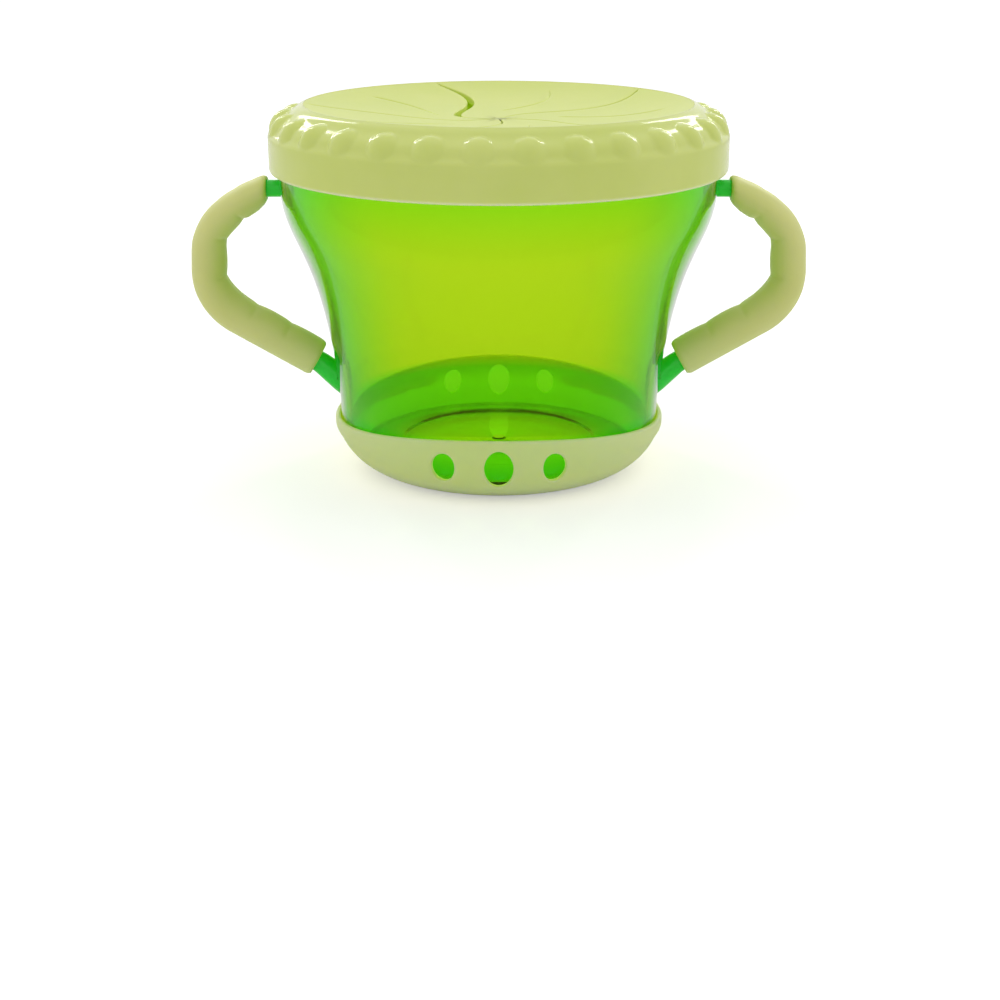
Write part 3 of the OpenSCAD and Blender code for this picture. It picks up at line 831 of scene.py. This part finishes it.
paints = {
    "lid": {"colour": (0.74, 0.83, 0.23), "pale": (0.77, 0.85, 0.26), "gloss": (0.08, 0.15), "shine": 0.22,
            "patch": 60, "grain": 1600, "depth": 0.012, "soft": 0.4, "softDepth": 0.8,
            "low": (0.95, 1.0, 0.6), "lowFrom": 67.1, "lowTo": 67.9},   # painted light: the lower lip is paler, as if lit by the floor below
    "leaf": {"colour": (0.72, 0.81, 0.2), "pale": (0.75, 0.83, 0.23), "gloss": (0.32, 0.42), "shine": 0.16,
             "patch": 60, "grain": 1600, "depth": 0.012, "soft": 0.4, "softDepth": 0.8},
    "boot": {"colour": (0.93, 0.94, 0.36), "pale": (0.96, 0.96, 0.4), "gloss": (0.42, 0.55), "shine": 0.4,
             "patch": 45, "grain": 2600, "depth": 0.05, "soft": 1.0, "softDepth": 4.5,
             # painted light: the boot is paler low down, as if lit by the floor
             "low": (0.96, 1.0, 0.55), "lowFrom": 0, "lowTo": 6,
             "lit": (0.8, 1.0, 0.3), "litBy": 0.28},                    # painted light: its inner skin glows, as if lit from outside
    "grip": {"colour": (0.76, 0.78, 0.27), "pale": (0.8, 0.81, 0.31), "gloss": (0.42, 0.55), "shine": 0.4,
             "patch": 70, "grain": 2200, "depth": 0.05, "soft": 0.5, "softDepth": 0.8,
             # painted light: the grip is paler low down, as if lit by the floor
             "low": (0.78, 0.83, 0.34), "lowFrom": 20, "lowTo": 34},
    "softSpread": (1.0, 1.0, 0.4), "bump": 0.5,
    "skin": {"driftDetail": 3, "drift": (0.35, 0.65), "grainDetail": 2, "rub": (0.6, 1.4)},
    "cup": {"ior": 1.36, "shine": (0.8, 1, 0.15), "gloss": (0.02, 0.05), "patch": 90, "grain": 900,
            "density": 1250, "colour": (0.862, 0.957, 0.02),
            "side": (0.3, 0.93, 0.22), "sideShadeRange": (0.25, 0.74),       # painted shade: deeper green where the wall turns away from the lens
            "rimRange": (0.74, 0.86), "rimIor": 1.8, "rimGloss": 0.05,  # pale gloss along the outline
            "foot": (0.36, 1, 0.6)},                                    # deeper green on the wall in the boot, and painted shade under the lid
    "core": {"colour": (0.015, 0.82, 0.035), "pale": (0.05, 0.88, 0.09), "gloss": (0.1, 0.18), "shine": 0.3,
             "patch": 120, "grain": 900, "rimRange": (0.45, 0.95)},
}


def newGroup(name, inputs, outputs):
    group = bpy.data.node_groups.new(name, "ShaderNodeTree")
    for way, sockets in (("INPUT", inputs), ("OUTPUT", outputs)):
        for label, kind in sockets:
            group.interface.new_socket(label, in_out=way, socket_type="NodeSocket" + kind)
    return group, group.nodes.new("NodeGroupInput"), group.nodes.new("NodeGroupOutput")


def mouldedSkin():  # slow drift of tone and gloss, and the fine grain of the mould
    group, given, out = newGroup(
        "mouldedSkin",
        [("Colour", "Color"), ("Pale", "Color"), ("Patch", "Float"), ("Grain", "Float"),
         ("Smooth", "Float"), ("Matt", "Float")],
        [("Colour", "Color"), ("Roughness", "Float"), ("Height", "Float")])
    look = paints["skin"]
    spot = addNode(group, "ShaderNodeTexCoord").outputs["Object"]
    noises = []
    for size, detail in (("Patch", look["driftDetail"]), ("Grain", look["grainDetail"])):
        inputs = {"Vector": spot, "Scale": given.outputs[size], "Detail": detail}
        noises.append(addNode(group, "ShaderNodeTexNoise", inputs).outputs["Fac"])
    drift, grain = noises
    spread = rangeNode(group, drift, *look["drift"])
    rub = mathNode(group, "ADD", drift, grain)
    rough = rangeNode(group, rub, *look["rub"], given.outputs["Smooth"], given.outputs["Matt"])
    feed(out.inputs["Colour"], mixNode(group, spread, given.outputs["Colour"], given.outputs["Pale"]))
    feed(out.inputs["Roughness"], rough)
    feed(out.inputs["Height"], grain)
    return group


def paleBelow():  # painted light: a paler tone low down, standing in for light from the floor below
    group, given, out = newGroup(
        "paleBelow", [("Colour", "Color"), ("Pale", "Color"), ("From", "Float"), ("To", "Float")],
        [("Colour", "Color")])
    spot = addNode(group, "ShaderNodeTexCoord")
    split = addNode(group, "ShaderNodeSeparateXYZ", {0: spot.outputs["Object"]})
    reach = rangeNode(group, split.outputs["Z"], given.outputs["From"], given.outputs["To"],
                      toLow=1, toHigh=0, smooth=True)
    feed(out.inputs["Colour"], mixNode(group, reach, given.outputs["Colour"], given.outputs["Pale"]))
    return group


skinGroup, lightBelowGroup = mouldedSkin(), paleBelow()


def newPaint(name):
    paint = bpy.data.materials.new(name)
    paint.use_nodes = True
    tree = paint.node_tree
    return paint, tree, tree.nodes["Principled BSDF"]


def addSkin(tree, shader, look):  # gives the roughness, and returns the colour and the grain's height
    smooth, matt = look["gloss"]
    values = {"Patch": look["patch"], "Grain": look["grain"], "Smooth": smooth, "Matt": matt}
    if "pale" in look:
        values.update({"Colour": (*look["colour"], 1), "Pale": (*look["pale"], 1)})
    skin = addNode(tree, "ShaderNodeGroup", values, node_tree=skinGroup)
    feed(shader.inputs["Roughness"], skin.outputs["Roughness"])
    return skin.outputs["Colour"], skin.outputs["Height"]


def outlineGloss(tree, shader, look):
    facing = addNode(tree, "ShaderNodeLayerWeight").outputs["Facing"]
    feed(shader.inputs["Coat Weight"], rangeNode(tree, facing, *look["rimRange"]))
    return facing


def softPaint(name, look):
    paint, tree, shader = newPaint(name)
    colour, height = addSkin(tree, shader, look)
    # painted light: paler low down, as if lit by the floor
    if "low" in look:
        values = {"Colour": colour, "Pale": (*look["low"], 1),
                  "From": look["lowFrom"] * mm, "To": look["lowTo"] * mm}
        colour = addNode(tree, "ShaderNodeGroup", values, node_tree=lightBelowGroup).outputs["Colour"]
    feed(shader.inputs["Base Color"], colour)
    relief = {"Strength": paints["bump"], "Distance": look["depth"] * mm, "Height": height}
    feed(shader.inputs["Normal"], addNode(tree, "ShaderNodeBump", relief).outputs["Normal"])
    shader.inputs["Specular IOR Level"].default_value = look["shine"]
    shader.inputs["Subsurface Weight"].default_value = look["soft"]
    shader.inputs["Subsurface Radius"].default_value = paints["softSpread"]
    shader.inputs["Subsurface Scale"].default_value = look["softDepth"] * mm
    # painted light: the boot's inner skin glows where the glow attribute marks it
    if "lit" in look:
        light = mixNode(tree, attributeNode(tree, "glow"), (0, 0, 0, 1), (*look["lit"], 1))
        feed(shader.inputs["Emission Color"], light)
        shader.inputs["Emission Strength"].default_value = look["litBy"]
    return paint


def clearPaint(name, look):
    paint, tree, shader = newPaint(name)
    addSkin(tree, shader, look)
    facing = outlineGloss(tree, shader, look)
    shader.inputs["Coat IOR"].default_value = look["rimIor"]
    shader.inputs["Coat Roughness"].default_value = look["rimGloss"]
    # painted shade: deeper green where the wall turns away from the lens
    reach = rangeNode(tree, facing, *look["sideShadeRange"])
    onWall = mathNode(tree, "MULTIPLY", reach, attributeNode(tree, "wall"))
    tint = mixNode(tree, onWall, (1, 1, 1, 1), (*look["side"], 1))
    # deeper green low in the boot, and painted shade under the lid
    tint = mixNode(tree, attributeNode(tree, "foot"), tint, (*look["foot"], 1))
    feed(shader.inputs["Base Color"], tint)
    shader.inputs["IOR"].default_value = look["ior"]
    shader.inputs["Transmission Weight"].default_value = 1
    shader.inputs["Specular Tint"].default_value = (*look["shine"], 1)
    path = addNode(tree, "ShaderNodeLightPath")  # light falls straight through the cup
    through = mathNode(tree, "MAXIMUM", path.outputs["Is Shadow Ray"], path.outputs["Is Diffuse Ray"])
    clear = addNode(tree, "ShaderNodeBsdfTransparent")
    both = addNode(tree, "ShaderNodeMixShader", {"Fac": through, 1: shader.outputs[0], 2: clear.outputs[0]})
    depth = addNode(tree, "ShaderNodeVolumeAbsorption",
                    {"Color": (*look["colour"], 1), "Density": look["density"]})
    out = tree.nodes["Material Output"]
    feed(out.inputs["Surface"], both.outputs[0])
    feed(out.inputs["Volume"], depth.outputs[0])
    return paint


def corePaint(name, look):
    paint, tree, shader = newPaint(name)
    colour = addSkin(tree, shader, look)[0]
    feed(shader.inputs["Base Color"], colour)
    outlineGloss(tree, shader, look)
    shader.inputs["Specular IOR Level"].default_value = look["shine"]
    return paint


for name, look, pieces in (("lidPlastic", "lid", [lidBand]), ("bootPlastic", "boot", [softBoot]),
                           ("gripPlastic", "grip", grips), ("leafPlastic", "leaf", leaves)):
    paint = softPaint(name, paints[look])
    for piece in pieces:
        piece.data.materials.append(paint)
clearCup.data.materials.append(clearPaint("clearPlastic", paints["cup"]))
clearCup.data.materials.append(corePaint("corePlastic", paints["core"]))
print("paints made")
